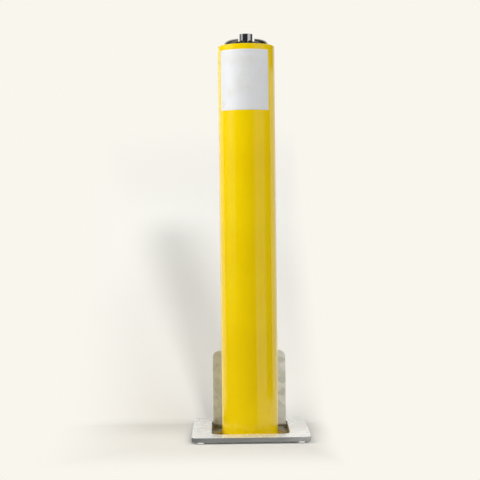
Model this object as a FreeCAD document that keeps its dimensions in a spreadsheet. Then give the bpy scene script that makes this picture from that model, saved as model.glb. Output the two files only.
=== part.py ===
import FreeCAD, Part
import math
import os
import re
import Sketcher

# Telescopic bollard: a hand-lifted post that drops into a ground sleeve under a hinged lid.
# Millimetres. Origin on the post axis at ground level, +Z up, front is -Y, the lid hinge is at +Y.
os.makedirs("parts", exist_ok=True)
doc = FreeCAD.newDocument("TelescopicBollard")
sheet = doc.addObject("Spreadsheet::Sheet", "Sizes")
Vector = FreeCAD.Vector
Rotation = FreeCAD.Rotation
pieces = []
solidCounts = {}

sizes = [
    # clearances and fits
    ("fitGap", "0.1", "pin or ring in its own seat, per side"),
    ("seatGap", "0.3", "disc or bush in a bore, per side"),
    ("slipGap", "0.4", "small sliding or turning piece, per side"),
    ("guideGap", "0.5", "post in its guides, per side"),
    ("stopGap", "0.5", "free play at each stop"),
    ("cutOver", "1", "length by which a cut runs past a face"),
    # post tube
    ("tubeOuter", "98", "post tube, outer diameter"),
    ("tubeWall", "4", "post tube, wall"),
    ("tubeRadius", "=tubeOuter / 2", "post tube, outer radius"),
    ("tubeBore", "=tubeRadius - tubeWall", "post tube, inner radius"),
    ("tubeEdge", "0.8", "post tube, chamfer at the rim"),
    ("rimLevel", "670", "rim of the raised post above ground"),
    ("discRadius", "=tubeBore - seatGap", "discs and blocks inside the tube, radius"),
    # upper guide
    ("guideBore", "=tubeRadius + guideGap", "guide bore, radius"),
    ("guideWall", "3.7", "upper guide, wall"),
    ("guideOuter", "=guideBore + guideWall", "upper guide, outer radius"),
    ("guideLong", "40", "upper guide, length below its flange"),
    ("flangeWide", "9", "upper guide, width of the flange"),
    ("flangeRadius", "=guideOuter + flangeWide", "upper guide, flange radius"),
    ("flangeThick", "3", "upper guide, flange thickness"),
    ("flangeEdge", "1", "upper guide, chamfers"),
    ("screwRadius", "2", "guide screw, shank radius"),
    ("screwHead", "4", "guide screw, head radius"),
    ("screwTall", "2.2", "guide screw, head height"),
    ("screwSlot", "1", "guide screw, slot width and depth"),
    ("screwPitch", "=(guideOuter + flangeRadius) * sqrt(2) / 4", "guide screws, offset along each axis"),
    # surface plate and recess
    ("recessRoom", "4.8", "recess wall, distance from the guide flange"),
    ("hingeRoom", "3", "recess, extra depth for the hinge"),
    ("plateRim", "33", "surface plate, width beside the opening"),
    ("plateThick", "8", "surface plate and lid, thickness"),
    ("plateCorner", "10", "surface plate, corner radius"),
    ("plateEdge", "0.8", "surface plate, rounding of the top edge"),
    ("openWide", "=2 * (flangeRadius + recessRoom)", "lid opening, across"),
    ("openDeep", "=openWide + hingeRoom", "lid opening, front to back"),
    ("openCorner", "14", "lid opening, front corner radius"),
    ("openRear", "1.5", "lid opening, rear corner radius"),
    ("plateSide", "=openWide + 2 * plateRim", "surface plate, side"),
    ("frameWall", "13", "recess frame, wall thickness"),
    ("frameDrop", "6", "recess frame, depth below the plate"),
    ("rebateDeep", "1", "rebate that seats the frame in the plate"),
    ("seatThick", "6", "seat plate, thickness"),
    ("seatTop", "=-frameDrop", "seat plate, upper level"),
    ("seatUnder", "=seatTop - seatThick", "seat plate, lower level"),
    ("flangeTop", "=seatTop + flangeThick", "upper guide, flange level"),
    # stops and lower guide
    ("ringBelow", "40", "keep ring, depth below the upper guide"),
    ("ringTall", "24", "keep ring, height"),
    ("ringRoom", "2.7", "keep ring, distance from the tube"),
    ("ringBore", "=tubeRadius + ringRoom", "keep ring, inner radius"),
    ("ringTop", "=seatTop - guideLong - ringBelow", "keep ring, upper level"),
    ("ringFoot", "=ringTop - ringTall", "keep ring, lower level"),
    ("collarTall", "8", "stop collar, height"),
    ("collarRoom", "3.8", "stop collar, distance from the sleeve"),
    ("collarTop", "=ringFoot - stopGap", "stop collar, upper level"),
    ("lowerTop", "=collarTop - collarTall", "lower guide, upper level"),
    ("lowerTall", "31.5", "lower guide, height"),
    ("lowerFoot", "=lowerTop - lowerTall", "lower guide, lower level"),
    ("retainerTall", "6", "retaining ring, height"),
    ("retainerWall", "9", "retaining ring, wall"),
    ("tailLong", "20", "post tube, length below the retaining ring"),
    ("footLevel", "=lowerFoot - retainerTall - tailLong", "lower end of the raised post"),
    ("endThick", "6", "post foot, thickness"),
    ("endDrain", "12", "post foot, drain radius"),
    # ground sleeve
    ("plungerRise", "22", "lock plunger, height above the rim"),
    ("dropRoom", "13", "lowered plunger, depth below the closed lid"),
    ("postTravel", "=rimLevel + plungerRise + dropRoom", "travel of the post"),
    ("sleeveRoom", "16.85", "ground sleeve, distance from the post tube"),
    ("sleeveWall", "4", "ground sleeve, wall"),
    ("sleeveBore", "=tubeRadius + sleeveRoom", "ground sleeve, inner radius"),
    ("sleeveRadius", "=sleeveBore + sleeveWall", "ground sleeve, outer radius"),
    ("bufferThick", "8.5", "base buffer, thickness"),
    ("bufferRoom", "8", "base buffer, distance from the sleeve"),
    ("bufferHole", "30", "base buffer, hole radius"),
    ("baseThick", "8", "sleeve base, thickness"),
    ("drainRadius", "20", "sleeve base, drain radius"),
    ("sleeveFoot", "=footLevel - postTravel - stopGap - bufferThick", "ground sleeve, inner floor level"),
    # lock bolts
    ("boltRadius", "8", "lock bolt, radius"),
    ("boltLevel", "=ringTop + boltRadius + stopGap", "lock bolts, level"),
    ("boltInner", "6", "lock bolt, inner end from the axis"),
    ("tipSink", "0.2", "lock bolt, tip below the tube's face when drawn in"),
    ("boltTip", "=tubeRadius - tipSink", "lock bolt, tip from the axis when drawn in"),
    ("boltEdge", "1", "lock bolt, chamfer at the tip"),
    ("boltSpare", "5.05", "lock bolt, distance from the sleeve when out"),
    ("lockTravel", "=sleeveBore - boltTip - boltSpare", "travel of plunger and bolts"),
    ("forkDeep", "29", "lock bolt, depth of the fork"),
    ("forkGap", "0.6", "lock bolt, fork beside the cam plate, per side"),
    ("dowelRadius", "3", "bolt pin, radius"),
    ("dowelHalf", "7.2", "bolt pin, half length"),
    ("dowelFrom", "14", "bolt pin, distance from the axis when drawn in"),
    ("slotLong", "=lockTravel * sqrt(2)", "cam slot, length between its round ends"),
    ("slotShift", "=(dowelRadius + slipGap) * sqrt(2) / 2", "cam slot, half width along each axis"),
    ("carrierBelow", "16", "bolt carrier, depth below the bolts"),
    ("carrierAbove", "15", "bolt carrier, height above the bolts"),
    ("carrierGap", "1", "bolt carrier, slot around the cam plate, per side"),
    ("camThick", "8", "cam plate, thickness"),
    ("camUnder", "9", "cam plate, depth below the bolts"),
    ("camFoot", "16", "cam plate, half width at its lower edge"),
    ("camHalf", "36", "cam plate, half width"),
    ("camSide", "=camHalf - camFoot - camUnder", "cam plate, height where its sides turn upright"),
    ("camFlank", "11", "cam plate, height of its upright sides"),
    ("camShoulder", "=camSide + camFlank", "cam plate, height of its shoulders"),
    ("camSpare", "3", "rod socket, distance from the carrier when sunk"),
    ("camTop", "=carrierAbove + lockTravel + camSpare", "cam plate, height of its neck"),
    ("socketLevel", "=boltLevel + camTop", "rod socket, lower level"),
    ("socketWall", "5", "rod socket, wall"),
    ("socketTall", "20", "rod socket, height"),
    ("socketFloor", "2", "rod socket, floor below the rod"),
    ("rodRadius", "5", "plunger rod, radius"),
    ("socketRadius", "=rodRadius + socketWall", "rod socket, radius"),
    ("rodSeat", "16", "plunger rod, length inside the plunger"),
    ("rodPin", "2", "rod pins, radius"),
    ("rodPinSink", "1", "rod pins, end inside the socket's face"),
    ("rodPinHalf", "=socketRadius - rodPinSink", "rod pins, half length"),
    ("boreSpare", "1", "blind bores, spare depth"),
    # cap and lock
    ("capRise", "11", "cap, height of the dome at its middle"),
    ("capFall", "0.7", "cap, fall of the crown from its middle to its edge"),
    ("capStep", "0.5", "cap, upright edge below the dome"),
    ("capShoulder", "=capRise - capFall - capStep", "cap, rounding of the dome's shoulder"),
    ("capLedge", "5.7", "cap, ledge between the dome and the tube"),
    ("capRadius", "=discRadius - capLedge", "cap, dome radius"),
    ("capSkirt", "30", "cap, depth of the skirt in the tube"),
    ("capWall", "4", "cap, wall"),
    ("notchRoom", "1.7", "slot in the cap before the plunger, room each side"),
    ("notchHalf", "=plungerRadius + notchRoom", "slot in the cap, half width"),
    ("plungerRadius", "12", "lock plunger, radius"),
    ("plungerEdge", "0.9", "lock plunger, chamfer"),
    ("plungerTop", "=rimLevel + plungerRise", "lock plunger, upper level"),
    ("camPinRadius", "2.5", "cam pin, radius"),
    ("camPinRoot", "1", "cam pin, inner end from the axis"),
    ("camPinBite", "3.2", "cam pin, length in the lock track"),
    ("camPinReach", "=plungerRadius + slipGap + camPinBite", "cam pin, reach from the axis"),
    ("trackHalf", "=camPinRadius + stopGap", "lock track, half width"),
    ("trackRoom", "0.6", "lock track, distance from the cam pin's end"),
    ("trackReach", "=camPinReach + trackRoom", "lock track, depth from the axis"),
    ("trackTurn", "90", "lock track, angle of each branch"),
    ("bushWall", "2.8", "lock bush, wall behind the track"),
    ("bushRadius", "=trackReach + bushWall", "lock bush, radius"),
    ("bushRise", "2", "lock bush, height above the rim of the tube"),
    ("bushLong", "42.8", "lock bush, length"),
    ("bushTop", "=rimLevel + bushRise", "lock bush, upper level"),
    ("bushFoot", "=bushTop - bushLong", "lock bush, lower level"),
    ("plungerBelow", "10", "lock plunger, length below the lock bush"),
    ("plungerFoot", "=bushFoot - plungerBelow", "lock plunger, lower level"),
    ("bushStep", "5", "lock bush, width of the flange"),
    ("bushLip", "4", "lock bush, flange thickness"),
    ("bushFlange", "=bushRadius + bushStep", "lock bush, flange radius"),
    ("hubWall", "6", "cap, hub wall"),
    ("hubRadius", "=bushRadius + hubWall", "cap, hub radius"),
    ("camPinUp", "32", "cam pin, height above the lock bush's lower end"),
    ("camPinLevel", "=bushFoot + camPinUp", "cam pin, level"),
    ("plugRadius", "6", "key plug, radius"),
    ("plugSink", "0.4", "key plug, depth below the plunger's face"),
    ("plugBelow", "11", "key plug, length below the cam pin"),
    ("plugFoot", "=camPinLevel - plugBelow", "key plug, lower level"),
    ("plugFace", "=plungerTop - plugSink", "key plug, upper level"),
    ("keyWide", "2", "keyway, width"),
    ("keyTall", "8", "keyway, height"),
    ("keyDeep", "22", "keyway, depth"),
    # rod guides and spring
    ("springLong", "60", "spring, length when the plunger is up"),
    ("springCoil", "8.5", "spring, coil radius"),
    ("springWire", "1.25", "spring, wire radius"),
    ("springTurns", "6", "spring, turns"),
    ("springGap", "0.2", "spring, gap at each end"),
    ("springFoot", "=plungerFoot - springLong", "spring, lower level"),
    ("rodGuideThick", "12", "rod guides, thickness"),
    ("rodGuidePitch", "308", "rod guides, distance from one to the other"),
    ("rodGuideHigh", "=springFoot - rodGuideThick", "upper rod guide, lower level"),
    ("rodGuideLow", "=rodGuideHigh - rodGuidePitch", "lower rod guide, lower level"),
    ("rodGuideDrain", "9", "rod guides, drain radius"),
    ("rodGuideCircle", "28", "rod guides, drain circle radius"),
    # lid and hinge
    ("lidGap", "1.5", "lid, gap to the opening"),
    ("hingeGap", "0.3", "hinge barrel, gap to the opening"),
    ("leanGap", "0.09", "open lid, gap to the edge it leans on"),
    ("hingeBack", "=openDeep / 2 - plateThick / 2 - hingeGap", "hinge axis, distance behind the post"),
    ("hingeLevel", "=plateThick / 2", "hinge axis, level"),
    ("lidHalf", "=openWide / 2 - lidGap", "lid, half width"),
    ("lidReach", "=hingeBack + openDeep / 2 - lidGap", "lid, reach from the hinge axis"),
    ("lidCorner", "=openCorner - lidGap", "lid, corner radius"),
    ("lidEdge", "0.6", "lid, chamfer of its outer edges"),
    ("lidLean", "=2 * (hingeGap - leanGap) / plateThick * 180 / pi", "lid, lean past upright, degrees"),
    ("slotHalf", "9", "finger slot, half length between its round ends"),
    ("slotRadius", "6", "finger slot, end radius"),
    ("slotEdge", "18", "finger slot, centre from the free edge"),
    ("hingePin", "2.2", "hinge pin, radius"),
    ("hingeSlip", "0.3", "hinge pin in the lid, per side"),
    ("pinShort", "1", "hinge pin, end inside the lug's outer face"),
    ("lugSide", "25", "hinge lug, distance from the side of the opening"),
    ("lugWide", "12", "hinge lug, width"),
    ("lugInner", "=openWide / 2 - lugSide - lugWide", "hinge lug, inner face from the centre"),
    ("lugDeep", "10.5", "hinge lug, depth"),
    ("lugSink", "0.3", "hinge lug, top below the plate's face"),
    ("lugSlip", "0.5", "lid beside a lug, per side"),
    ("lugOuter", "=lugInner + lugWide + lugSlip", "lid, outer side of its notch for a lug"),
    ("padRadius", "6", "lid buffer, radius"),
    ("padEdge", "1", "lid buffer, chamfer"),
    ("padInset", "10", "lid buffer, centre from the walls of the opening"),
    ("padSink", "0.4", "lid buffer, top below the closed lid"),
]
for row, (alias, value, note) in enumerate(sizes, 1):
    sheet.set("A%d" % row, note)
    sheet.set("B%d" % row, value)
    sheet.setAlias("B%d" % row, alias)
doc.recompute()

alongX = Rotation(Vector(0, 1, 0), 90)
alongY = Rotation(Vector(1, 0, 0), -90)


def size(expr):
    return float(sheet.evalExpression(expr))


def bind(target, prop, expr):
    # a plain number needs no link to the sheet
    if re.search("[A-Za-z]", expr):
        target.setExpression(prop, re.sub(r"[A-Za-z]\w+", r"Sizes.\g<0>", expr))


def body(label, solids=1):
    made = doc.addObject("PartDesign::Body", label)
    made.Label = label
    pieces.append(made)
    solidCounts[label] = solids
    return made


def sketch(made, role, start="0"):
    drawn = made.newObject("Sketcher::SketchObject", made.Label + "Sketch")
    plane = [o for o in made.Origin.OriginFeatures if o.Role == role][0]
    drawn.AttachmentSupport = [(plane, "")]
    drawn.MapMode = "FlatFace"
    drawn.AttachmentOffset = FreeCAD.Placement(Vector(0, 0, size(start)), Rotation())
    bind(drawn, "AttachmentOffset.Base.z", start)
    return drawn


def fix(drawn, kind, edge, end, expr):
    number = drawn.addConstraint(Sketcher.Constraint(kind, -1, 1, edge, end, size(expr)))
    bind(drawn, "Constraints[%d]" % number, expr)


def outline(drawn, corners):
    # a closed run of straight edges
    points = [Vector(size(x), size(y), 0) for x, y in corners]
    count = len(points)
    edges = []
    for k in range(count):
        edges.append(drawn.addGeometry(Part.LineSegment(points[k], points[(k + 1) % count]), False))
    for k in range(count):
        drawn.addConstraint(Sketcher.Constraint("Coincident", edges[k], 2, edges[(k + 1) % count], 1))
    for edge, (x, y) in zip(edges, corners):
        fix(drawn, "DistanceX", edge, 1, x)
        fix(drawn, "DistanceY", edge, 1, y)


def turned(label, corners):
    # a profile of radius and level turned about the upright axis
    made = body(label)
    drawn = sketch(made, "XZ_Plane")
    outline(drawn, corners)
    feature = made.newObject("PartDesign::Revolution", label + "Turned")
    feature.Profile = drawn
    feature.ReferenceAxis = (drawn, ["V_Axis"])
    feature.Angle = 360
    doc.recompute()
    return made


def ring(label, inner, outer, low, high):
    return turned(label, [(inner, low), (outer, low), (outer, high), (inner, high)])


def shape(made, sign, kind, at, turn=None, **lengths):
    feature = made.newObject("PartDesign::" + sign + kind, made.Label + kind)
    for prop, expr in lengths.items():
        setattr(feature, prop, size(expr))
        bind(feature, prop, expr)
    feature.Placement = FreeCAD.Placement(Vector(*[size(x) for x in at]), turn or Rotation())
    for axis, expr in zip("xyz", at):
        bind(feature, "Placement.Base." + axis, expr)
    doc.recompute()
    return feature


def grow(made, kind, at, turn=None, **lengths):
    return shape(made, "Additive", kind, at, turn, **lengths)


def carve(made, kind, at, turn=None, **lengths):
    before = made.Shape.Volume
    feature = shape(made, "Subtractive", kind, at, turn, **lengths)
    if not made.Shape.Volume < before - 0.01:
        raise RuntimeError("nothing was cut from " + made.Label)
    return feature


def dress(made, kind, prop, expr, wanted):
    # rounds or chamfers the edges that wanted picks out
    base = made.Tip
    names = ["Edge%d" % (k + 1) for k, edge in enumerate(base.Shape.Edges) if wanted(edge)]
    if not names:
        raise RuntimeError("no edge to dress on " + made.Label)
    feature = made.newObject("PartDesign::" + kind, made.Label + kind)
    feature.Base = (base, names)
    setattr(feature, prop, size(expr))
    bind(feature, prop, expr)
    doc.recompute()
    return feature


def upright(edge):
    return edge.BoundBox.ZLength > 0.5 and edge.BoundBox.XLength + edge.BoundBox.YLength < 1e-6


def close(value, expr):
    return abs(value - size(expr)) < 1e-4


def around(made, features, count):
    # repeats features about the upright axis
    pattern = made.newObject("PartDesign::PolarPattern", made.Label + "Pattern")
    axis = [o for o in made.Origin.OriginFeatures if o.Role == "Z_Axis"][0]
    pattern.Originals = features
    pattern.Axis = (axis, [""])
    pattern.Angle = 360
    pattern.Occurrences = count
    made.Tip = pattern
    doc.recompute()


# Ground unit
plate = body("surface_plate")
grow(plate, "Box", ("-plateSide / 2", "-plateSide / 2", "0"),
     Length="plateSide", Width="plateSide", Height="plateThick")
dress(plate, "Fillet", "Radius", "plateCorner", upright)
carve(plate, "Box", ("-openWide / 2", "-openDeep / 2", "-1"),
      Length="openWide", Width="openDeep", Height="plateThick + 2 * cutOver")


def openEdge(edge, front):
    level = "-openDeep / 2" if front else "openDeep / 2"
    spot = edge.BoundBox.Center
    return upright(edge) and close(abs(spot.x), "openWide / 2") and close(spot.y, level)


dress(plate, "Fillet", "Radius", "openCorner", lambda edge: openEdge(edge, True))
dress(plate, "Fillet", "Radius", "openRear", lambda edge: openEdge(edge, False))
carve(plate, "Box", ("-openWide / 2 - frameWall", "-openDeep / 2 - frameWall", "-1"),
      Length="openWide + 2 * frameWall", Width="openDeep + 2 * frameWall", Height="rebateDeep + cutOver")


def topOuter(edge):
    box = edge.BoundBox
    far = max(abs(box.Center.x), abs(box.Center.y)) > size("plateSide / 2 - plateCorner")
    return far and box.ZLength < 1e-6 and close(box.ZMax, "plateThick")


dress(plate, "Fillet", "Radius", "plateEdge", topOuter)

frame = body("recess_frame")
grow(frame, "Box", ("-openWide / 2 - frameWall", "-openDeep / 2 - frameWall", "-frameDrop"),
     Length="openWide + 2 * frameWall", Width="openDeep + 2 * frameWall",
     Height="frameDrop + rebateDeep")
carve(frame, "Box", ("-openWide / 2", "-openDeep / 2", "-frameDrop - cutOver"),
      Length="openWide", Width="openDeep", Height="frameDrop + rebateDeep + 2 * cutOver")
dress(frame, "Fillet", "Radius", "openCorner", lambda edge: openEdge(edge, True))
dress(frame, "Fillet", "Radius", "openRear", lambda edge: openEdge(edge, False))

seat = body("seat_plate")
grow(seat, "Box", ("-openWide / 2 - frameWall", "-openDeep / 2 - frameWall", "seatUnder"),
     Length="openWide + 2 * frameWall", Width="openDeep + 2 * frameWall", Height="seatThick")
carve(seat, "Cylinder", ("0", "0", "seatUnder - cutOver"),
      Radius="guideOuter + seatGap", Height="seatThick + 2 * cutOver")
hole = carve(seat, "Cylinder", ("screwPitch", "screwPitch", "seatUnder - cutOver"),
             Radius="screwRadius + fitGap", Height="seatThick + 2 * cutOver")
around(seat, [hole], 4)

guide = turned("upper_guide", [
    ("guideBore", "seatTop - guideLong"), ("guideOuter", "seatTop - guideLong"),
    ("guideOuter", "seatTop"), ("flangeRadius", "seatTop"),
    ("flangeRadius", "flangeTop - flangeEdge"), ("flangeRadius - flangeEdge", "flangeTop"),
    ("guideBore + flangeEdge", "flangeTop"), ("guideBore", "flangeTop - flangeEdge")])
hole = carve(guide, "Cylinder", ("screwPitch", "screwPitch", "seatTop - cutOver"),
             Radius="screwRadius + seatGap", Height="flangeThick + 2 * cutOver")
around(guide, [hole], 4)

screws = body("guide_screws", 4)
shank = grow(screws, "Cylinder", ("screwPitch", "screwPitch", "seatUnder"),
             Radius="screwRadius", Height="flangeTop - seatUnder")
head = grow(screws, "Cylinder", ("screwPitch", "screwPitch", "flangeTop"),
            Radius="screwHead", Height="screwTall")
slot = carve(screws, "Box",
             ("screwPitch - screwHead - cutOver", "screwPitch - screwSlot / 2",
              "flangeTop + screwTall - screwSlot"),
             Length="2 * screwHead + 2 * cutOver", Width="screwSlot", Height="screwSlot + cutOver")
around(screws, [shank, head, slot], 4)

ring("ground_sleeve", "sleeveBore", "sleeveRadius", "sleeveFoot - baseThick", "seatUnder")
ring("keep_ring", "ringBore", "sleeveBore - fitGap", "ringFoot", "ringTop")
ring("sleeve_base", "drainRadius", "sleeveBore - fitGap", "sleeveFoot - baseThick", "sleeveFoot")
ring("base_buffer", "bufferHole", "sleeveBore - bufferRoom", "sleeveFoot", "sleeveFoot + bufferThick")

pads = body("lid_buffers", 2)
for side in ("-", ""):
    grow(pads, "Cylinder", (side + "(openWide / 2 - padInset)", "-openDeep / 2 + padInset", "seatTop"),
         Radius="padRadius", Height="frameDrop - padSink")
dress(pads, "Chamfer", "Size", "padEdge", lambda edge: close(edge.BoundBox.ZMin, "-padSink"))

lugs = body("hinge_lugs", 2)
for corner in ("-lugInner - lugWide", "lugInner"):
    grow(lugs, "Box", (corner, "openDeep / 2 - lugDeep", "seatTop"),
         Length="lugWide", Width="lugDeep", Height="frameDrop + plateThick - lugSink")
carve(lugs, "Cylinder", ("-lugInner - lugWide - cutOver", "hingeBack", "hingeLevel"), alongX,
      Radius="hingePin + fitGap", Height="2 * lugInner + 2 * lugWide + 2 * cutOver")

pivot = body("hinge_pin")
grow(pivot, "Cylinder", ("-lugInner - lugWide + pinShort", "hingeBack", "hingeLevel"), alongX,
     Radius="hingePin", Height="2 * (lugInner + lugWide - pinShort)")

# Lid, drawn closed about its hinge axis and then turned open
lid = body("lid_plate")
grow(lid, "Box", ("-lidHalf", "-lidReach", "-plateThick / 2"),
     Length="2 * lidHalf", Width="lidReach", Height="plateThick")
dress(lid, "Fillet", "Radius", "lidCorner",
      lambda edge: upright(edge) and close(edge.BoundBox.YMin, "-lidReach"))
for corner in ("-lugOuter", "lugInner - lugSlip"):
    carve(lid, "Box", (corner, "openDeep / 2 - hingeBack - lugDeep - lugSlip", "-plateThick"),
          Length="lugWide + 2 * lugSlip", Width="lugDeep + cutOver", Height="2 * plateThick")
for start, run in (("-lidHalf", "lidHalf - lugOuter"), ("lugOuter", "lidHalf - lugOuter"),
                   ("-lugInner + lugSlip", "2 * lugInner - 2 * lugSlip")):
    grow(lid, "Cylinder", (start, "0", "0"), alongX, Radius="plateThick / 2", Height=run)
carve(lid, "Cylinder", ("-lugInner", "0", "0"), alongX,
      Radius="hingePin + hingeSlip", Height="2 * lugInner")
carve(lid, "Box", ("-slotHalf", "-lidReach + slotEdge - slotRadius", "-plateThick"),
      Length="2 * slotHalf", Width="2 * slotRadius", Height="2 * plateThick")
for end in ("-slotHalf", "slotHalf"):
    carve(lid, "Cylinder", (end, "-lidReach + slotEdge", "-plateThick"),
          Radius="slotRadius", Height="2 * plateThick")


def lidOuter(edge):
    box = edge.BoundBox
    beside = abs(box.Center.x) > size("lidHalf - lidCorner / 2")
    ahead = box.Center.y < size("-lidReach + lidCorner / 2")
    return (beside or ahead) and box.ZLength < 1e-6 and close(abs(box.ZMin), "plateThick / 2")


dress(lid, "Chamfer", "Size", "lidEdge", lidOuter)
lid.Placement = FreeCAD.Placement(
    Vector(0, size("hingeBack"), size("hingeLevel")), Rotation(Vector(1, 0, 0), -90 - size("lidLean")))
bind(lid, "Placement.Base.y", "hingeBack")
bind(lid, "Placement.Base.z", "hingeLevel")

# Post
tube = turned("post_tube", [
    ("tubeBore", "footLevel"), ("tubeRadius", "footLevel"), ("tubeRadius", "rimLevel - tubeEdge"),
    ("tubeRadius - tubeEdge", "rimLevel"), ("tubeBore", "rimLevel")])
carve(tube, "Cylinder", ("-tubeRadius - cutOver", "0", "boltLevel"), alongX,
      Radius="boltRadius + guideGap", Height="tubeOuter + 2 * cutOver")

cap = turned("top_cap", [
    ("discRadius", "rimLevel - capSkirt"), ("discRadius", "rimLevel"), ("capRadius", "rimLevel"),
    ("capRadius", "rimLevel + capRise - capFall"),
    ("bushRadius + seatGap", "rimLevel + capRise"), ("bushRadius + seatGap", "bushFoot + bushLip"),
    ("hubRadius", "bushFoot + bushLip"), ("hubRadius", "rimLevel - capWall"),
    ("discRadius - capWall", "rimLevel - capWall"), ("discRadius - capWall", "rimLevel - capSkirt")])
dress(cap, "Fillet", "Radius", "capShoulder", lambda edge: (
    close(edge.BoundBox.ZMin, "rimLevel + capRise - capFall") and close(edge.BoundBox.ZLength, "0")
    and close(edge.BoundBox.XMax, "capRadius")))
carve(cap, "Box", ("-notchHalf", "-discRadius - cutOver", "rimLevel + capStep"),
      Length="2 * notchHalf", Width="discRadius + cutOver", Height="capRise + cutOver")

bush = turned("lock_bush", [
    ("plungerRadius + slipGap", "bushFoot"), ("bushFlange", "bushFoot"),
    ("bushFlange", "bushFoot + bushLip"), ("bushRadius", "bushFoot + bushLip"),
    ("bushRadius", "bushTop"), ("plungerRadius + slipGap", "bushTop")])
carve(bush, "Box", ("0", "-trackHalf", "bushFoot - cutOver"),
      Length="trackReach", Width="2 * trackHalf", Height="camPinLevel + trackHalf - bushFoot + cutOver")
for level in ("camPinLevel", "camPinLevel - lockTravel"):
    carve(bush, "Cylinder", ("0", "0", level + " - trackHalf"),
          Radius="trackReach", Height="2 * trackHalf", Angle="trackTurn")
    carve(bush, "Box", ("-trackHalf", "0", level + " - trackHalf"),
          Length="2 * trackHalf", Width="trackReach", Height="2 * trackHalf")

for label, level in (("rod_guide_upper", "rodGuideHigh"), ("rod_guide_lower", "rodGuideLow")):
    made = ring(label, "rodRadius + slipGap", "discRadius", level, level + " + rodGuideThick")
    hole = carve(made, "Cylinder", ("rodGuideCircle", "0", level + " - cutOver"),
                 Radius="rodGuideDrain", Height="rodGuideThick + 2 * cutOver")
    around(made, [hole], 3)

carrier = body("bolt_carrier")
grow(carrier, "Cylinder", ("0", "0", "boltLevel - carrierBelow"),
     Radius="discRadius", Height="carrierBelow + carrierAbove")
carve(carrier, "Box",
      ("-camHalf - carrierGap", "-camThick / 2 - carrierGap", "boltLevel - carrierBelow - cutOver"),
      Length="2 * (camHalf + carrierGap)", Width="camThick + 2 * carrierGap",
      Height="carrierBelow + carrierAbove + 2 * cutOver")
carve(carrier, "Cylinder", ("-tubeRadius", "0", "boltLevel"), alongX,
      Radius="boltRadius + slipGap", Height="tubeOuter")

ring("stop_collar", "tubeRadius + fitGap", "sleeveBore - collarRoom", "lowerTop", "collarTop")
ring("lower_guide", "tubeRadius + seatGap", "sleeveBore - guideGap", "lowerFoot", "lowerTop")
ring("retaining_ring", "tubeRadius + fitGap", "tubeRadius + retainerWall",
     "lowerFoot - retainerTall", "lowerFoot")
ring("post_foot", "endDrain", "discRadius", "footLevel", "footLevel + endThick")

# Lock
plunger = turned("lock_plunger", [
    ("0", "plungerFoot + rodSeat + boreSpare"), ("rodRadius + fitGap", "plungerFoot + rodSeat + boreSpare"),
    ("rodRadius + fitGap", "plungerFoot"), ("plungerRadius", "plungerFoot"),
    ("plungerRadius", "plungerTop - plungerEdge"), ("plungerRadius - plungerEdge", "plungerTop"),
    ("plugRadius + slipGap", "plungerTop"), ("plugRadius + slipGap", "plugFoot - boreSpare"),
    ("0", "plugFoot - boreSpare")])
carve(plunger, "Cylinder", ("0", "0", "camPinLevel - trackHalf"),
      Radius="plungerRadius + cutOver", Height="2 * trackHalf", Angle="trackTurn")
carve(plunger, "Box", ("0", "-trackHalf", "camPinLevel - trackHalf"),
      Length="plungerRadius + cutOver", Width="2 * trackHalf", Height="2 * trackHalf")
carve(plunger, "Box", ("-trackHalf", "0", "camPinLevel - trackHalf"),
      Length="2 * trackHalf", Width="plungerRadius + cutOver", Height="2 * trackHalf")
carve(plunger, "Cylinder", ("0", "-plungerRadius - cutOver", "plungerFoot + rodSeat / 2"), alongY,
      Radius="rodPin + fitGap", Height="2 * plungerRadius + 2 * cutOver")

rod = body("plunger_rod")
grow(rod, "Cylinder", ("0", "0", "socketLevel + socketFloor"), Radius="rodRadius",
     Height="plungerFoot + rodSeat - socketLevel - socketFloor")
for level in ("plungerFoot + rodSeat / 2", "socketLevel + socketTall / 2"):
    carve(rod, "Cylinder", ("0", "-rodRadius - cutOver", level), alongY,
          Radius="rodPin + fitGap", Height="2 * rodRadius + 2 * cutOver")

cam = body("cam_plate")
drawn = sketch(cam, "XZ_Plane", "-camThick / 2")
outline(drawn, [
    ("-camFoot", "boltLevel - camUnder"), ("camFoot", "boltLevel - camUnder"),
    ("camHalf", "boltLevel + camSide"), ("camHalf", "boltLevel + camShoulder"),
    ("socketRadius", "socketLevel"), ("-socketRadius", "socketLevel"),
    ("-camHalf", "boltLevel + camShoulder"), ("-camHalf", "boltLevel + camSide")])
padded = cam.newObject("PartDesign::Pad", "CamPad")
padded.Profile = drawn
bind(padded, "Length", "camThick")
doc.recompute()
grow(cam, "Cylinder", ("0", "0", "socketLevel"), Radius="socketRadius", Height="socketTall")
carve(cam, "Cylinder", ("0", "0", "socketLevel + socketFloor - boreSpare / 2"),
      Radius="rodRadius + fitGap", Height="socketTall")
carve(cam, "Cylinder", ("0", "-socketRadius - cutOver", "socketLevel + socketTall / 2"), alongY,
      Radius="rodPin + fitGap", Height="2 * socketRadius + 2 * cutOver")
# each 45 degree slot drives one bolt outward as the plate sinks, and draws it in as the plate lifts
for side, slope, lift in (("", -45, "-"), ("-", -135, "+")):
    carve(cam, "Box", (side + "dowelFrom + slotShift", "-camThick", "boltLevel " + lift + " slotShift"),
          Rotation(Vector(0, 1, 0), slope),
          Length="slotLong", Width="2 * camThick", Height="2 * (dowelRadius + slipGap)")
    for shift in ("", " + lockTravel"):
        place = (side + "(dowelFrom" + shift + ")", "-camThick", "boltLevel" + shift)
        carve(cam, "Cylinder", place, alongY, Radius="dowelRadius + slipGap", Height="2 * camThick")

pins = body("rod_pins", 2)
grow(pins, "Cylinder", ("0", "-rodPinHalf", "plungerFoot + rodSeat / 2"), alongY,
     Radius="rodPin", Height="2 * rodPinHalf")
grow(pins, "Cylinder", ("0", "-rodPinHalf", "socketLevel + socketTall / 2"), alongY,
     Radius="rodPin", Height="2 * rodPinHalf")

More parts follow.
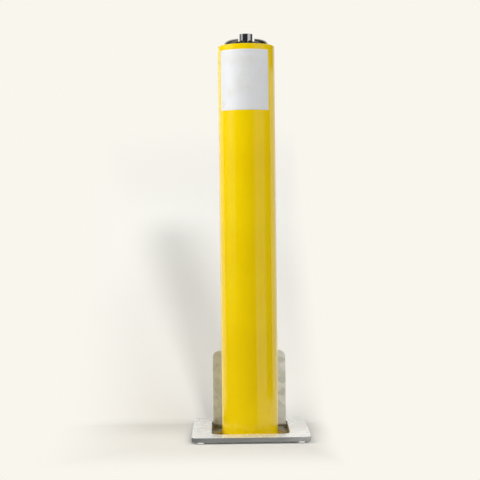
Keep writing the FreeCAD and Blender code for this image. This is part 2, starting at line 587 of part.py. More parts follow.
turned("key_plug", [
    ("0", "plugFoot"), ("plugRadius", "plugFoot"), ("plugRadius", "plugFace"), ("0", "plugFace")])
plug = pieces[-1]
carve(plug, "Box", ("-keyWide / 2", "-keyTall / 2", "plugFace - keyDeep"),
      Length="keyWide", Width="keyTall", Height="keyDeep + cutOver")
carve(plug, "Cylinder", ("camPinRoot", "0", "camPinLevel"), alongX,
      Radius="camPinRadius + fitGap", Height="plugRadius")

camPin = body("cam_pin")
grow(camPin, "Cylinder", ("camPinRoot", "0", "camPinLevel"), alongX,
     Radius="camPinRadius", Height="camPinReach - camPinRoot")

for side, turn in (("right", 0), ("left", 180)):
    facing = FreeCAD.Placement(Vector(0, 0, 0), Rotation(Vector(0, 0, 1), turn))
    bolt = body("lock_bolt_" + side)
    grow(bolt, "Cylinder", ("boltInner", "0", "boltLevel"), alongX,
         Radius="boltRadius", Height="boltTip - boltInner")
    dress(bolt, "Chamfer", "Size", "boltEdge", lambda edge: close(edge.BoundBox.XMin, "boltTip"))
    carve(bolt, "Box",
          ("boltInner - cutOver", "-camThick / 2 - forkGap", "boltLevel - boltRadius - cutOver"),
          Length="forkDeep + cutOver", Width="camThick + 2 * forkGap", Height="2 * (boltRadius + cutOver)")
    carve(bolt, "Cylinder", ("dowelFrom", "-boltRadius - cutOver", "boltLevel"), alongY,
          Radius="dowelRadius + fitGap", Height="2 * boltRadius + 2 * cutOver")
    bolt.Placement = facing
    solidCounts[bolt.Label] = 1
    dowel = body("bolt_pin_" + side)
    grow(dowel, "Cylinder", ("dowelFrom", "-dowelHalf", "boltLevel"), alongY,
         Radius="dowelRadius", Height="2 * dowelHalf")
    dowel.Placement = facing

# The coil's wire and path are many-sided, because a true round helix is far too fine once faceted
steps = 10
wireSides = 6
coil = size("springCoil")
wireRadius = size("springWire")
low = size("springFoot + springGap + springWire")
rise = size("plungerFoot - springFoot - 2 * springGap - 2 * springWire")
count = int(size("springTurns")) * steps
path = []
for k in range(count + 1):
    angle = 2 * math.pi * k / steps
    path.append(Vector(coil * math.cos(angle), coil * math.sin(angle), low + rise * k / count))
across = Vector(0, 0, 1).cross(path[1] - path[0]).normalize()
above = (path[1] - path[0]).cross(across).normalize()
section = []
for k in range(wireSides + 1):
    angle = 2 * math.pi * k / wireSides
    section.append(path[0] + (across * math.cos(angle) + above * math.sin(angle)) * wireRadius)
spring = doc.addObject("Part::Feature", "plunger_spring")
spring.Label = "plunger_spring"
spring.Shape = Part.makePolygon(path).makePipeShell([Part.makePolygon(section)], True, False, 1)
spring.Placement = FreeCAD.Placement(Vector(0, 0, 0), Rotation())
pieces.append(spring)
solidCounts["plunger_spring"] = 1

doc.recompute()
for thing in doc.Objects:
    if "Invalid" in thing.State or "Error" in thing.State:
        raise RuntimeError("not built: " + thing.Name + " " + str(thing.State))
for made in pieces:
    if made.Shape.isNull() or not made.Shape.isValid():
        raise RuntimeError("bad shape: " + made.Label)
    if len(made.Shape.Solids) != solidCounts[made.Label]:
        raise RuntimeError("solids in " + made.Label + ": " + str(len(made.Shape.Solids)))
    made.Shape.exportStep("parts/" + made.Label + ".step")
    print(made.Label, round(made.Shape.Volume), len(made.Shape.Faces))
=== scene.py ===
import bmesh
import bpy
import math
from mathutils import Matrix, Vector


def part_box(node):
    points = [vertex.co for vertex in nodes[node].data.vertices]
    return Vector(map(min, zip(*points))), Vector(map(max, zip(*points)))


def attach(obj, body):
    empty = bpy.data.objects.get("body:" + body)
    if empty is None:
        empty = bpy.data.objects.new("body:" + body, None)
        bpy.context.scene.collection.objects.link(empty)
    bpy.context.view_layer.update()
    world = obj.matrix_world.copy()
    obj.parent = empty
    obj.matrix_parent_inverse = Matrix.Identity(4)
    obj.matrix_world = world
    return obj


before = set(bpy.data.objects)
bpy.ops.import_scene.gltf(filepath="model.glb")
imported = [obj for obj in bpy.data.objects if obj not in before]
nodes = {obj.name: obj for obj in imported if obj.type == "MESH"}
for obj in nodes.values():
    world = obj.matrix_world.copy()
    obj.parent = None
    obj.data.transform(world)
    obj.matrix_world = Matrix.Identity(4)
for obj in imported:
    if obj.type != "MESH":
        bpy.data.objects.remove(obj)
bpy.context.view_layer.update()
bpy.context.scene.view_settings.view_transform = "Standard"
print("frame loaded:", len(nodes), "nodes")


class Wire:
    # a shader socket that can stand in sums
    def __init__(self, tree, socket=None):
        self.tree = tree
        self.socket = socket

    def node(self, kind, settings, plugs, out=0):
        made = self.tree.nodes.new("ShaderNode" + kind)
        for name, value in settings.items():
            setattr(made, name, value)
        for name, value in plugs.items():
            if isinstance(value, Wire):
                self.tree.links.new(value.socket, made.inputs[name])
            else:
                made.inputs[name].default_value = value
        return Wire(self.tree, made.outputs[out])

    def calc(self, operation, first, second):
        return self.node("Math", {"operation": operation}, {0: first, 1: second})

    def __add__(self, other):
        return self.calc("ADD", self, other)

    __radd__ = __add__

    def __sub__(self, other):
        return self.calc("SUBTRACT", self, other)

    def __rsub__(self, other):
        return self.calc("SUBTRACT", other, self)

    def __mul__(self, other):
        return self.calc("MULTIPLY", self, other)

    def __abs__(self):
        return self.calc("ABSOLUTE", self, 0)


def rgb(red, green, blue):
    # screen values 0 to 255 as a linear colour
    parts = []
    for value in (red, green, blue):
        value = value / 255
        parts.append(value / 12.92 if value <= 0.04045 else ((value + 0.055) / 1.055) ** 2.4)
    return (*parts, 1)


def noise(place, scale, detail, rough=0.5, twist=0.0):
    return place.node("TexNoise", {}, {
        "Vector": place, "Scale": scale, "Detail": detail, "Roughness": rough, "Distortion": twist})


def stretch(place, across, deep, tall):
    return place.node("Mapping", {}, {"Vector": place, "Scale": (across, deep, tall)})


def fade(value, low, high):
    # 0 at low, 1 at high, eased between
    return value.node("MapRange", {"interpolation_type": "SMOOTHSTEP"}, {
        "Value": value, "From Min": low, "From Max": high})


def larger(first, second):
    return first.calc("MAXIMUM", first, second)


def tint(share, first, second):
    return share.node("Mix", {"data_type": "RGBA"}, {0: share, 6: first, 7: second}, 2)


def axes(place):
    return [place.node("SeparateXYZ", {}, {"Vector": place}, k) for k in range(3)]


def relief(height, deep, strength):
    return height.node("Bump", {}, {"Height": height, "Distance": deep, "Strength": strength})


def startFinish(name, **fixed):
    finish = bpy.data.materials.new(name)
    finish.use_nodes = True
    tree = finish.node_tree
    shader = tree.nodes["Principled BSDF"]
    for socket, value in fixed.items():
        shader.inputs[socket.replace("_", " ")].default_value = value
    place = Wire(tree).node("TexCoord", {}, {}, "Object")

    def feed(**wires):
        for socket, wire in wires.items():
            tree.links.new(wire.socket, shader.inputs[socket.replace("_", " ")])

    return finish, place, feed


# in the finishes Scale and Grain size a noise, Cut is where it starts and is full, Band is in metres

# powder-coated post
yellowCoat = {
    "fresh": rgb(247, 212, 2), "deep": rgb(241, 204, 1), "dull": rgb(205, 168, 36), "gloss": 0.09,
    "cloudScale": 9, "cloudCut": (0.3, 0.7), "rubGrain": (260, 260, 5),
    "scuffCut": (0.60, 0.72), "scuffBand": (0.30, 0.02), "scuffShare": 0.2,
    "grimeScale": 90, "grimeCut": (0.52, 0.8), "grimeBand": (0.03, 0.004), "grimeShare": 0.5,
    "slidCut": (0.4, 0.7), "slidBand": (0.004, -0.004), "slidLeast": 0.35, "slidShare": 0.4,
    "peelScale": 430, "bumpDeep": 0.0002, "bumpShare": 0.3}


def makeYellowCoat():
    coat = yellowCoat
    finish, place, feed = startFinish("yellow_coat", IOR=1.5)
    up = axes(place)[2]
    cloud = noise(place, coat["cloudScale"], 3)
    rub = noise(stretch(place, *coat["rubGrain"]), 1, 3, 0.6)
    scuff = fade(rub, *coat["scuffCut"]) * fade(up, *coat["scuffBand"]) * coat["scuffShare"]
    grime = fade(noise(place, coat["grimeScale"], 4), *coat["grimeCut"])
    grime = grime * fade(up, *coat["grimeBand"]) * coat["grimeShare"]
    slid = coat["slidLeast"] + fade(rub, *coat["slidCut"]) * coat["slidShare"]
    slid = fade(up, *coat["slidBand"]) * slid  # grey where the guides rub
    colour = tint(fade(cloud, *coat["cloudCut"]), coat["deep"], coat["fresh"])
    colour = tint(larger(grime, slid), colour, coat["dull"])
    peel = noise(place, coat["peelScale"], 2, 0.55)
    feed(Base_Color=colour,
         Roughness=coat["gloss"] + cloud * 0.05 + scuff * 0.5 + grime * 0.4 + slid * 0.3,
         Normal=relief(peel, coat["bumpDeep"], coat["bumpShare"]))
    return finish


# hot-dipped lid, sleeve and rings
dippedZinc = {
    "light": rgb(238, 240, 236), "dark": rgb(206, 210, 203), "bloom": rgb(242, 243, 240),
    "stain": rgb(140, 122, 88), "gloss": 0.4, "metal": 0.15,
    "warpScale": 40, "warpDeep": 0.012, "flakeScale": 95, "fernScale": 570, "cloudScale": 22,
    "shadeCut": (0.15, 0.85), "shadeDrop": 0.1,
    "bloomScale": 34, "bloomCut": (0.5, 0.7), "bloomShare": 0.55,
    "speckScale": 210, "speckCut": (0.66, 0.74), "speckCloud": (0.42, 0.62), "speckShare": 0.6,
    "dampScale": 70, "dampBand": (0.03, 0.002), "dampLift": 0.35, "dampCut": (0.6, 0.95), "dampShare": 0.55,
    "bumpDeep": 0.0006, "bumpShare": 0.35}


def makeDippedZinc():
    zinc = dippedZinc
    finish, place, feed = startFinish("dipped_zinc")
    up = axes(place)[2]
    sway = place.node("TexNoise", {}, {"Vector": place, "Scale": zinc["warpScale"], "Detail": 2}, "Color")
    sway = place.node("VectorMath", {"operation": "SCALE"}, {0: sway, "Scale": zinc["warpDeep"]})
    warp = place.node("VectorMath", {"operation": "ADD"}, {0: place, 1: sway})
    flake = axes(place.node("TexVoronoi", {}, {"Vector": warp, "Scale": zinc["flakeScale"]}, "Color"))
    fern = noise(warp, zinc["fernScale"], 3, 0.6)
    cloud = noise(place, zinc["cloudScale"], 4, 0.6)
    bloom = fade(noise(place, zinc["bloomScale"], 5, 0.65, 0.6), *zinc["bloomCut"]) * zinc["bloomShare"]
    speck = fade(noise(place, zinc["speckScale"], 3, 0.6), *zinc["speckCut"])
    speck = speck * fade(cloud, *zinc["speckCloud"])
    damp = noise(place, zinc["dampScale"], 4, 0.6) + fade(up, *zinc["dampBand"]) * zinc["dampLift"]
    damp = fade(damp, *zinc["dampCut"])  # brown near the ground
    stain = larger(speck * zinc["speckShare"], damp * zinc["dampShare"])
    shade = flake[0] * 0.5 + fern * 0.25 + cloud * 0.5 - zinc["shadeDrop"]
    colour = tint(fade(shade, *zinc["shadeCut"]), zinc["dark"], zinc["light"])
    colour = tint(bloom, colour, zinc["bloom"])
    bumps = cloud * 0.7 + fern * 0.3 + flake[2] * 0.12 + speck * 0.2
    feed(Base_Color=tint(stain, colour, zinc["stain"]),
         Metallic=zinc["metal"] - bloom * 0.3 - damp * 0.3,
         Roughness=zinc["gloss"] + flake[1] * 0.16 + bloom * 0.3 + damp * 0.15,
         Normal=relief(bumps, zinc["bumpDeep"], zinc["bumpShare"]))
    return finish


# bright surface plate, its sawn rim and its screws
brightZinc = {
    "base": rgb(246, 247, 249), "stain": rgb(200, 206, 202), "sawn": rgb(90, 92, 92),
    "sawnLight": rgb(192, 193, 191), "gloss": 0.17, "metal": 0.5,
    "drawnGrain": (30, 900, 900), "cloudScale": 26,
    "scratchGrain": (900, 40, 300), "scratchCut": (0.68, 0.76),
    "smudgeScale": 55, "smudgeCut": (0.56, 0.74), "smudgeShare": 0.6,
    "uprightCut": (0.75, 0.4), "rimBand": (0.094, 0.097), "sawGrain": (25, 25, 700),
    # the left and right bands are painted shade on the sawn rim's left end and painted light towards its
    # right end
    "leftShadeBand": (-0.106, -0.078), "leftShadeShare": 0.5, "rightLightBand": (0.05, 0.105), "rightLightShare": 0.35,
    "patchGrain": (9, 9, 60), "patchShare": 0.3, "patchDrop": 0.12,
    "bumpDeep": 0.00025, "bumpShare": 0.3}


def makeBrightZinc():
    zinc = brightZinc
    finish, place, feed = startFinish("bright_zinc")
    across, deep = axes(place)[:2]
    drawn = noise(stretch(place, *zinc["drawnGrain"]), 1, 3, 0.6)
    cloud = noise(place, zinc["cloudScale"], 4, 0.6)
    smudge = fade(noise(place, zinc["smudgeScale"], 3, 0.6, 0.8), *zinc["smudgeCut"])
    scratch = fade(noise(stretch(place, *zinc["scratchGrain"]), 1, 2), *zinc["scratchCut"])
    facing = axes(place.node("NewGeometry", {}, {}, "Normal"))[2]
    sawn = fade(abs(facing), *zinc["uprightCut"])  # the upright cut faces of the plate
    sawn = sawn * fade(larger(abs(across), abs(deep)), *zinc["rimBand"])
    saw = noise(stretch(place, *zinc["sawGrain"]), 1, 3, 0.6)
    # painted shade and light: the sawn rim is darkest at its left end and grows lighter towards its right
    # end, mixed with random tone from the noise
    rimShadingAndTone = fade(across, *zinc["leftShadeBand"]) * zinc["leftShadeShare"]
    rimShadingAndTone = rimShadingAndTone + fade(across, *zinc["rightLightBand"]) * zinc["rightLightShare"]
    rimShadingAndTone = rimShadingAndTone + noise(stretch(place, *zinc["patchGrain"]), 1, 3) * zinc["patchShare"] - zinc["patchDrop"]
    colour = tint(smudge * zinc["smudgeShare"], zinc["base"], zinc["stain"])
    rim = tint(rimShadingAndTone * 0.8 + saw * 0.2, zinc["sawn"], zinc["sawnLight"])
    bumps = drawn * 0.4 + cloud + scratch * 0.15 + saw * sawn * 0.6
    feed(Base_Color=tint(sawn, colour, rim),
         Metallic=zinc["metal"] - smudge * 0.1 - sawn * 0.3,
         Roughness=zinc["gloss"] + cloud * 0.12 + smudge * 0.14 + drawn * 0.06 + sawn * 0.25,
         Normal=relief(bumps, zinc["bumpDeep"], zinc["bumpShare"]))
    return finish


# sawn and turned steel inside the lock
plainSteel = {
    "base": rgb(150, 148, 146), "oil": rgb(92, 86, 78), "gloss": 0.3, "turningGrain": (60, 60, 1400),
    "filmScale": 38, "filmCut": (0.42, 0.72), "filmShare": 0.7, "bumpDeep": 0.0001, "bumpShare": 0.4}


def makePlainSteel():
    steel = plainSteel
    finish, place, feed = startFinish("plain_steel", Metallic=1.0)
    turning = noise(stretch(place, *steel["turningGrain"]), 1, 2)
    film = fade(noise(place, steel["filmScale"], 4, 0.6), *steel["filmCut"])
    feed(Base_Color=tint(film * steel["filmShare"], steel["base"], steel["oil"]),
         Roughness=steel["gloss"] + turning * 0.18 - film * 0.08,
         Normal=relief(turning, steel["bumpDeep"], steel["bumpShare"]))
    return finish


# polished plunger
chrome = {
    "base": rgb(232, 232, 234), "worn": rgb(206, 206, 206), "gloss": 0.045,
    "hazeScale": 120, "hazeCut": (0.45, 0.8), "hazeShare": 0.3,
    "hairGrain": (2600, 2600, 90), "hairCut": (0.62, 0.8), "bumpDeep": 0.00002, "bumpShare": 0.25}


def makeChrome():
    finish, place, feed = startFinish("polished_chrome", Metallic=1.0)
    haze = fade(noise(place, chrome["hazeScale"], 3), *chrome["hazeCut"])
    hair = noise(stretch(place, *chrome["hairGrain"]), 1, 2)
    feed(Base_Color=tint(haze * chrome["hazeShare"], chrome["base"], chrome["worn"]),
         Roughness=chrome["gloss"] + haze * 0.06 + fade(hair, *chrome["hairCut"]) * 0.10,
         Normal=relief(hair, chrome["bumpDeep"], chrome["bumpShare"]))
    return finish


# moulded cap
moulded = {
    "base": rgb(40, 39, 34), "dust": rgb(84, 80, 68), "gloss": 0.16, "grainScale": 1500,
    "cloudScale": 45, "dustCut": (0.52, 0.8), "dustShare": 0.45, "bumpDeep": 0.00012, "bumpShare": 0.25}


def makeMouldedCap():
    finish, place, feed = startFinish("moulded_cap", IOR=1.8, Coat_Weight=1.0, Coat_Roughness=0.08)
    cloud = noise(place, moulded["cloudScale"], 4, 0.6)
    grain = noise(place, moulded["grainScale"], 2)
    dust = fade(cloud, *moulded["dustCut"]) * moulded["dustShare"]
    feed(Base_Color=tint(dust, moulded["base"], moulded["dust"]),
         Roughness=moulded["gloss"] + dust * 0.3 + grain * 0.05,
         Normal=relief(grain + cloud * 0.6, moulded["bumpDeep"], moulded["bumpShare"]))
    return finish


# machined nylon guides
nylon = {
    "base": rgb(40, 38, 36), "wear": rgb(72, 68, 62), "grit": rgb(206, 172, 84), "gloss": 0.42,
    "turningGrain": (40, 40, 1800), "scuffScale": 220, "scuffCut": (0.52, 0.75), "scuffShare": 0.6,
    "gritScale": 130, "gritCut": (0.36, 0.56), "gritFoot": (-0.012, -0.004), "gritTop": (0.2, 0.1),
    "gritShare": 0.85, "bumpDeep": 0.00012, "bumpShare": 0.4}


def makeNylon():
    finish, place, feed = startFinish("machined_nylon", IOR=1.53)
    up = axes(place)[2]
    turning = noise(stretch(place, *nylon["turningGrain"]), 1, 2)
    scuff = fade(noise(place, nylon["scuffScale"], 4, 0.65), *nylon["scuffCut"])
    grit = fade(noise(place, nylon["gritScale"], 5, 0.7), *nylon["gritCut"])  # dirt washed in at the top
    grit = grit * fade(up, *nylon["gritFoot"]) * fade(up, *nylon["gritTop"])
    colour = tint(scuff * nylon["scuffShare"], nylon["base"], nylon["wear"])
    bumps = turning * 0.5 + scuff * 0.4 + grit * 0.6
    feed(Base_Color=tint(grit * nylon["gritShare"], colour, nylon["grit"]),
         Roughness=nylon["gloss"] + turning * 0.12 + scuff * 0.2 + grit * 0.3,
         Normal=relief(bumps, nylon["bumpDeep"], nylon["bumpShare"]))
    return finish


# rubber buffers
rubber = {
    "base": rgb(34, 34, 34), "chalk": rgb(84, 82, 80), "gloss": 0.68, "poreScale": 900,
    "chalkScale": 70, "chalkCut": (0.5, 0.8), "chalkShare": 0.5, "bumpDeep": 0.0003, "bumpShare": 0.4}


def makeRubber():
    finish, place, feed = startFinish("buffer_rubber", IOR=1.5)
    pore = noise(place, rubber["poreScale"], 4, 0.7)
    chalk = fade(noise(place, rubber["chalkScale"], 4, 0.6), *rubber["chalkCut"])
    feed(Base_Color=tint(chalk * rubber["chalkShare"], rubber["base"], rubber["chalk"]),
         Roughness=rubber["gloss"] + chalk * 0.2,
         Normal=relief(pore, rubber["bumpDeep"], rubber["bumpShare"]))
    return finish


# key plug
brass = {
    "base": rgb(214, 178, 96), "tarnish": rgb(150, 112, 52), "gloss": 0.2, "ringGrain": (300, 300, 60),
    "tarnishScale": 320, "tarnishCut": (0.45, 0.75), "tarnishShare": 0.7,
    "bumpDeep": 0.00006, "bumpShare": 0.4}


def makeBrass():
    finish, place, feed = startFinish("turned_brass", Metallic=1.0)
    ring = noise(stretch(place, *brass["ringGrain"]), 1, 3)
    tarnish = fade(noise(place, brass["tarnishScale"], 4, 0.6), *brass["tarnishCut"])
    feed(Base_Color=tint(tarnish * brass["tarnishShare"], brass["base"], brass["tarnish"]),
         Roughness=brass["gloss"] + tarnish * 0.25 + ring * 0.06,
         Normal=relief(ring, brass["bumpDeep"], brass["bumpShare"]))
    return finish


finishes = {
    "yellow_paint": makeYellowCoat(), "galvanised": makeDippedZinc(), "bright_plate": makeBrightZinc(),
    "plain_steel": makePlainSteel(), "chrome_pin": makeChrome(), "dark_cap": makeMouldedCap(),
    "black_nylon": makeNylon(), "black_rubber": makeRubber(), "brass_plug": makeBrass()}
for name, node in nodes.items():
    for holder in node.material_slots:
        slotName = holder.material.name.split(".")[0]
        holder.material = finishes[slotName]
print("finishes on", len(nodes), "nodes")


def clearPick():
    if bpy.context.object and bpy.context.object.mode != "OBJECT":
        bpy.ops.object.mode_set(mode="OBJECT")
    bpy.ops.object.select_all(action="DESELECT")


def pick(piece, kind, test):
    # selects vertices or edges of the piece in edit mode
    bpy.ops.mesh.select_mode(type=kind)
    bpy.ops.mesh.select_all(action="DESELECT")
    mesh = bmesh.from_edit_mesh(piece.data)
    for part in {"VERT": mesh.verts, "EDGE": mesh.edges}[kind]:
        if test(part):
            part.select_set(True)
    bmesh.update_edit_mesh(piece.data)


def applyAll(piece):
    for modifier in list(piece.modifiers):
        bpy.ops.object.modifier_apply(modifier=modifier.name)


# blank sticker round the head of the post
sticker = {
    "span": 113, "turn": -7.5, "top": 0.6604, "tall": 0.103, "thick": 0.0002, "slices": 60,
    "corner": 0.0025, "cornerSteps": 6, "smoothAngle": 40,
    "white": rgb(227, 228, 230), "aged": rgb(216, 214, 206), "gloss": 0.3,
    "cloudScale": 30, "agedCut": (0.45, 0.8), "agedShare": 0.6,
    "handledScale": 85, "handledCut": (0.56, 0.78), "handledShare": 0.25,
    "rippleGrain": (1, 1, 0.6), "rippleScale": 95, "grainScale": 1700,
    "bumpDeep": 0.0003, "bumpShare": 0.25}


def makeVinyl():
    finish, place, feed = startFinish("sticker_vinyl", IOR=1.45)
    cloud = noise(place, sticker["cloudScale"], 4, 0.6)
    ripple = noise(stretch(place, *sticker["rippleGrain"]), sticker["rippleScale"], 2)
    grain = noise(place, sticker["grainScale"], 2)
    handled = fade(noise(place, sticker["handledScale"], 4, 0.65, 0.5), *sticker["handledCut"])
    aged = fade(cloud, *sticker["agedCut"]) * sticker["agedShare"] + handled * sticker["handledShare"]
    feed(Base_Color=tint(aged, sticker["white"], sticker["aged"]),
         Roughness=sticker["gloss"] + cloud * 0.1 + handled * 0.15,
         Normal=relief(ripple + grain * 0.1, sticker["bumpDeep"], sticker["bumpShare"]))
    return finish


def makeSticker():
    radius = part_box("post_tube")[1].x
    wide = math.radians(sticker["span"]) * radius
    clearPick()
    bpy.ops.mesh.primitive_plane_add(size=1, rotation=(math.pi / 2, 0, 0))
    piece = bpy.context.object
    piece.name = "sticker"
    piece.scale = (wide, sticker["tall"], 1)
    bpy.ops.object.transform_apply()
    bpy.ops.object.mode_set(mode="EDIT")
    pick(piece, "VERT", lambda vert: True)
    bpy.ops.mesh.bevel(offset=sticker["corner"], segments=sticker["cornerSteps"], affect="VERTICES")
    for k in range(1, sticker["slices"]):  # upright cuts, so that it bends round the tube
        bpy.ops.mesh.select_all(action="SELECT")
        bpy.ops.mesh.bisect(plane_co=((k / sticker["slices"] - 0.5) * wide, 0, 0), plane_no=(1, 0, 0))
    bpy.ops.object.mode_set(mode="OBJECT")
    wrap = piece.modifiers.new("wrap", "SIMPLE_DEFORM")
    wrap.deform_method = "BEND"
    wrap.deform_axis = "Z"
    wrap.angle = wide / radius
    skin = piece.modifiers.new("skin", "SOLIDIFY")
    skin.thickness = sticker["thick"]
    skin.offset = 1
    applyAll(piece)
    piece.location = (0, -radius, sticker["top"] - sticker["tall"] / 2)
    bpy.ops.object.transform_apply()
    piece.rotation_euler.z = math.radians(sticker["turn"])
    bpy.ops.object.transform_apply()
    bpy.ops.object.shade_smooth_by_angle(angle=math.radians(sticker["smoothAngle"]))
    piece.data.materials.append(makeVinyl())
    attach(piece, "post")


makeSticker()
print("sticker wrapped")


def closeTree(tree, shader, kind="OutputMaterial"):
    out = tree.nodes.new("ShaderNode" + kind)
    tree.links.new(shader.socket, out.inputs["Surface"])


def seenBy(base):
    # 1 for the camera and for what gloss and glass show
    ways = [base.node("LightPath", {}, {}, way) for way in
            ("Is Camera Ray", "Is Glossy Ray", "Is Transmission Ray")]
    return larger(larger(ways[0], ways[1]), ways[2])


# floor that rises behind the bollard, and where it turns to plain glow or goes dim
studio = {
    "cream": rgb(249, 246, 238), "paper": rgb(236, 234, 228), "paperFar": rgb(253, 252, 246),
    "dull": rgb(170, 168, 164), "dim": rgb(140, 139, 136), "reach": 6.0, "drop": -0.0034, "hatch": 0.09,
    "bendFrom": 0.101, "bendRadius": 0.06, "bendSteps": 24, "rise": 32, "back": 3.4,
    "glowRight": (0.085, 0.15), "glowLeft": (-0.17, -0.36), "glowFar": (0.72, 1.3), "glowNear": (-0.11, -0.3),
    "dimFar": (1.3, 1.8), "dimSide": (0.42, 0.7), "dimNear": (-0.4, -0.8), "paleFar": (0.5, 0.9),
    "airTone": (1, 0.99, 0.97, 1), "airFill": 0.02}


def makeCream():
    finish = bpy.data.materials.new("studio_cream")
    finish.use_nodes = True
    tree = finish.node_tree
    tree.nodes.clear()
    base = Wire(tree)
    place = base.node("TexCoord", {}, {}, "Object")
    across, deep = axes(place)[:2]
    seen = seenBy(base)
    far = place.node("VectorMath", {"operation": "LENGTH"}, {0: place}, "Value")
    aside = larger(fade(across, *studio["glowRight"]), fade(across, *studio["glowLeft"]))
    away = larger(larger(fade(far, *studio["glowFar"]), aside), fade(deep, *studio["glowNear"]))
    outer = larger(fade(far, *studio["dimFar"]), fade(abs(across), *studio["dimSide"]))
    outer = larger(outer, fade(deep, *studio["dimNear"]))
    sheet = tint(fade(far, *studio["paleFar"]), studio["paper"], studio["paperFar"])
    paper = tint(seen, studio["dull"], sheet)  # throws less light back up than the camera sees
    lit = base.node("BsdfDiffuse", {}, {"Color": tint(outer, paper, studio["dim"])})
    glow = base.node("Emission", {}, {"Color": studio["cream"], "Strength": 1.0})
    front = base.node("MixShader", {}, {0: away * seen, 1: lit, 2: glow})
    behind = base.node("NewGeometry", {}, {}, "Backfacing")
    hatch = larger(abs(across), abs(deep))
    hatch = base.calc("LESS_THAN", hatch, studio["hatch"])  # the hole in the ground
    clear = base.node("BsdfTransparent", {}, {})
    closeTree(tree, base.node("MixShader", {}, {0: larger(behind, hatch), 1: front, 2: clear}))
    return finish


def makeFloor():
    clearPick()
    bpy.ops.mesh.primitive_plane_add(size=2 * studio["reach"],
                                     location=(0, studio["bendFrom"] - studio["reach"], studio["drop"]))
    floor = bpy.context.object
    floor.name = "studio_floor"
    bpy.ops.object.transform_apply()
    bpy.ops.object.mode_set(mode="EDIT")
    pick(floor, "EDGE", lambda edge: all(vert.co.y > 0 for vert in edge.verts))
    slope = math.radians(studio["rise"])
    bpy.ops.mesh.spin(steps=studio["bendSteps"], angle=slope, axis=(-1, 0, 0),
                      center=(0, studio["bendFrom"], studio["bendRadius"] + studio["drop"]))
    bpy.ops.mesh.extrude_region_move(TRANSFORM_OT_translate={
        "value": (0, math.cos(slope) * studio["back"], math.sin(slope) * studio["back"])})
    bpy.ops.object.mode_set(mode="OBJECT")
    bpy.ops.object.shade_smooth()
    floor.data.materials.append(makeCream())
    return floor


floor = makeFloor()
print("floor laid, facing up:", all(face.normal.z > 0 for face in floor.data.polygons))


# soft lights round the middle of the post, by compass from the front and height in degrees
aim = Vector((0, 0, 0.33))
lamps = {
    "lampKey": {"turn": 14, "rise": 28, "away": 7.0, "wide": 0.9, "tall": 0.9, "glow": 60},
    "lampClose": {"turn": -72, "rise": 44, "away": 1.25, "wide": 0.7, "tall": 0.7, "glow": 4.6},
    "lampLow": {"turn": -74, "rise": 12, "away": 2.2, "wide": 1.6, "tall": 1.4, "glow": 4.2},
    "lampSide": {"turn": 56, "rise": 35, "away": 2.2, "wide": 1.8, "tall": 1.8, "glow": 2.3},
    "lampBack": {"turn": 172, "rise": 46, "away": 2.2, "wide": 1.8, "tall": 1.6, "glow": 0.3},
    "lampTop": {"turn": 180, "rise": 68, "away": 1.9, "wide": 2.6, "tall": 1.8, "glow": 0.1,
                "mirrored": True}}


def makeLamp(name, turn, rise, away, wide, tall, glow, mirrored=False):
    data = bpy.data.lights.new(name, "AREA")
    data.shape = "RECTANGLE"
    data.size = wide
    data.size_y = tall
    data.energy = glow * wide * tall * math.pi
    lamp = bpy.data.objects.new(name, data)
    bpy.context.scene.collection.objects.link(lamp)
    lamp.visible_glossy = mirrored
    turn, rise = math.radians(turn), math.radians(rise)
    reach = Vector((math.sin(turn) * math.cos(rise), -math.cos(turn) * math.cos(rise), math.sin(rise)))
    lamp.location = aim + reach * away
    lamp.rotation_euler = reach.to_track_quat("Z", "Y").to_euler()


for name, lampSizes in lamps.items():
    makeLamp(name, **lampSizes)

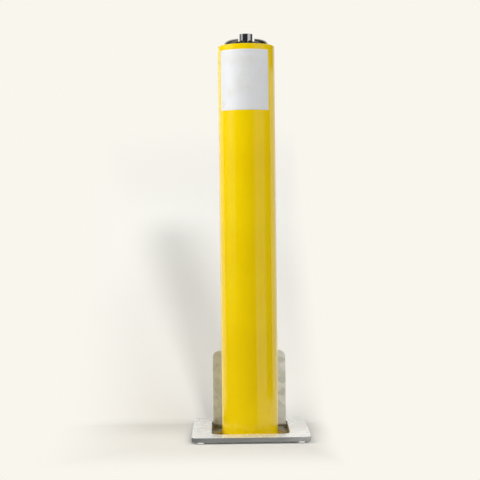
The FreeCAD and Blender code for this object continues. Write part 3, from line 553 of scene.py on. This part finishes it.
# dark and grey cards that only reflections see
cards = {
    "cardFront": {"spot": (-0.776, -2.898, 1.75), "turn": -15, "wide": 5.6, "tall": 4.5, "shade": 0.03},
    "cardRight": {"spot": (2.364, -1.847, 1.05), "turn": 52, "wide": 2.55, "tall": 3.1, "shade": 0.62},
    "cardRightBack": {"spot": (0.292, 0.067, 1.28), "turn": 103, "wide": 0.3, "tall": 1.24, "shade": 0.05},
    "cardLeft": {"spot": (-2.974, -0.392, 1.05), "turn": -82.5, "wide": 2.61, "tall": 3.1, "shade": 0.5,
                 "fadeFrom": 0.3, "fadeTo": 1.1},
    "cardLeftBack": {"spot": (-0.28, 0.107, 1.28), "turn": -111, "wide": 0.18, "tall": 1.24, "shade": 0.1},
    "cardRightRim": {"spot": (0.3, -0.034, 0.34), "turn": 90, "wide": 0.167, "tall": 0.64, "shade": 0.05},
    "cardLeftRim": {"spot": (-0.288, 0.01, 0.34), "turn": -90, "wide": 0.14, "tall": 0.64, "shade": 0.05},
    "cardGround": {"spot": (-1.62, -2.278, 0.001), "turn": 28, "wide": 5, "tall": 5.5, "shade": 0.04,
                   "lean": 0}}


def makeCard(name, spot, turn, wide, tall, shade, lean=90, fadeFrom=-2.0, fadeTo=-1.0):
    clearPick()
    bpy.ops.mesh.primitive_plane_add(size=1, location=spot,
                                     rotation=(math.radians(lean), 0, math.radians(turn)))
    card = bpy.context.object
    card.name = name
    card.scale = (wide, tall, 1)
    bpy.ops.object.transform_apply()
    card.visible_camera = card.visible_diffuse = False
    card.visible_shadow = card.visible_transmission = False
    paint = bpy.data.materials.new(name)
    paint.use_nodes = True
    paint.node_tree.nodes.clear()
    base = Wire(paint.node_tree)
    up = axes(base.node("TexCoord", {}, {}, "Object"))[2]
    tone = tint(fade(up, fadeFrom, fadeTo), (0, 0, 0, 1), (shade, shade, shade, 1))
    closeTree(paint.node_tree, base.node("Emission", {}, {"Color": tone, "Strength": 1.0}))
    card.data.materials.append(paint)


for name, cardSizes in cards.items():
    makeCard(name, **cardSizes)

# pale air, which throws next to no light itself
world = bpy.data.worlds.new("studio")
bpy.context.scene.world = world
world.use_nodes = True
world.node_tree.nodes.clear()
air = Wire(world.node_tree)
plain = air.node("Background", {}, {"Color": studio["cream"], "Strength": 1.0})
fill = air.node("Background", {}, {"Color": studio["airTone"], "Strength": studio["airFill"]})
closeTree(world.node_tree, air.node("MixShader", {}, {0: seenBy(air), 1: fill, 2: plain}), "OutputWorld")
print("lights set")

# camera, its angles in degrees
shot = {"spot": (-0.0366, -2.15, 0.3815), "lens": 92.67, "sensor": 36,
        "down": 1.24, "lean": 0.65, "turn": -0.61}
cameraData = bpy.data.cameras.new("camera")
cameraData.lens = shot["lens"]
cameraData.sensor_width = shot["sensor"]
camera = bpy.data.objects.new("camera", cameraData)
bpy.context.scene.collection.objects.link(camera)
camera.location = shot["spot"]
angles = (90 - shot["down"], shot["lean"], shot["turn"])
camera.rotation_euler = [math.radians(angle) for angle in angles]
bpy.context.scene.camera = camera
print("camera set")
